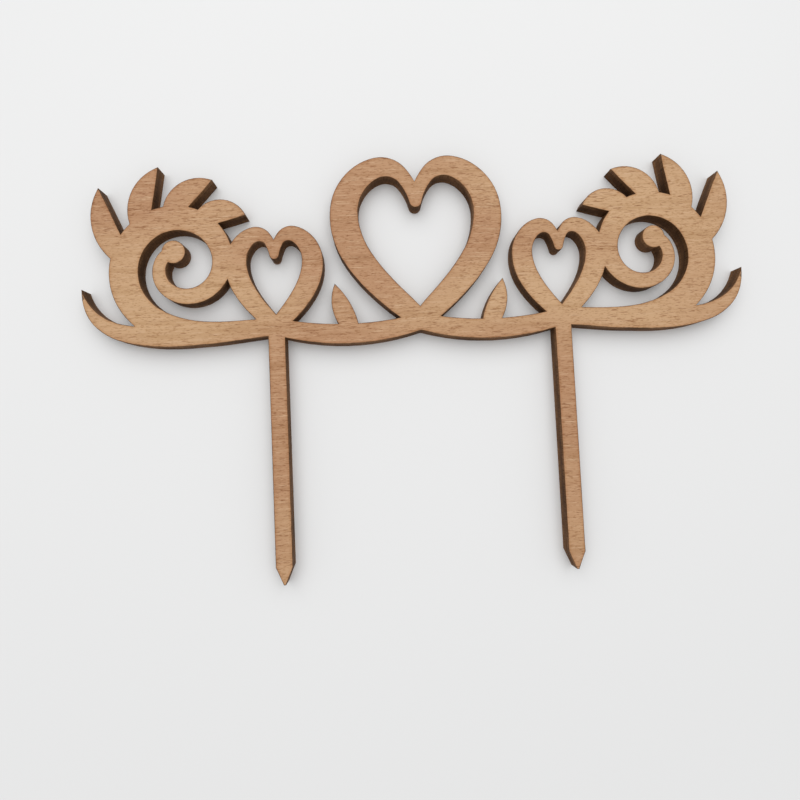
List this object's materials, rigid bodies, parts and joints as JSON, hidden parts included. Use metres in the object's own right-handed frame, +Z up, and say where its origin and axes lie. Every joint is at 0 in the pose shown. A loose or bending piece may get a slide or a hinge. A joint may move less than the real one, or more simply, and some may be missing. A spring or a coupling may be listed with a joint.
{
  "type": "cake topper",
  "caption": "Flat laser-cut plywood cake topper: hearts and leafy scrolls joined along an underside swag, standing on two pointed stakes that push into a cake.",
  "frame": {"origin": "midway between the two stakes, in the middle of the sheet's thickness, on the underside of the ornament, where the stakes go into the cake", "axes": "+X to the right along the ornament seen from the front, -Y out of the show face, +Z up away from the cake"},
  "size_m": [0.16, 0.004, 0.1016],
  "materials": {
    "face_veneer": "sanded, unfinished face veneer with laser-charred cut edges",
    "core_ply": "cross-grain core ply, charred where the laser cut it"
  },
  "bodies": {
    "root": {"front_veneer": "face_veneer", "core_ply": "core_ply", "back_veneer": "face_veneer"}
  },
  "joints": []
}
